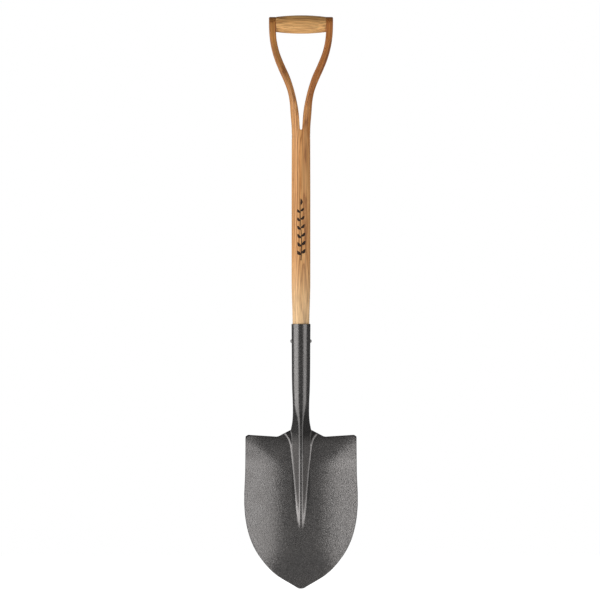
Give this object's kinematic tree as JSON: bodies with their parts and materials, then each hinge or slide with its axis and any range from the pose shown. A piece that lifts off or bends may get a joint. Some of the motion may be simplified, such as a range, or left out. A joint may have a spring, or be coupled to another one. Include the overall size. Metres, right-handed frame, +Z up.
{
  "type": "garden spade",
  "caption": "Pointed digging spade: dished pressed steel blade with a hollow ridge and tapering socket, ash shaft forking into two arms with a riveted crosswise grip.",
  "frame": {"origin": "middle of the bounding box's base, level with the blade's point; the shaft's axis is vertical, 10 mm behind it", "axes": "+Z up the shaft from the blade's point to the grip, +Y to the spade's back, so the dished face looks along -Y, +X to the right of someone facing the dished face"},
  "size_m": [0.2178, 0.0576, 1.1],
  "materials": {
    "graphite_paint": "semi-gloss graphite powder coat with a fine hammered grain",
    "ash": "oiled ash, long grain along the shaft and arms",
    "ash_grip": "oiled ash, grain along the grip",
    "rivet_steel": "plain steel, hammered heads",
    "painted_rivet": "the head's graphite coat over a domed rivet"
  },
  "bodies": {
    "root": {"head": "graphite_paint", "shaft": "ash", "grip": "ash_grip", "grip_rivet": "rivet_steel", "grip_washers": "rivet_steel", "fork_rivet": "rivet_steel", "fork_washers": "rivet_steel", "socket_rivet": "painted_rivet"}
  },
  "joints": []
}
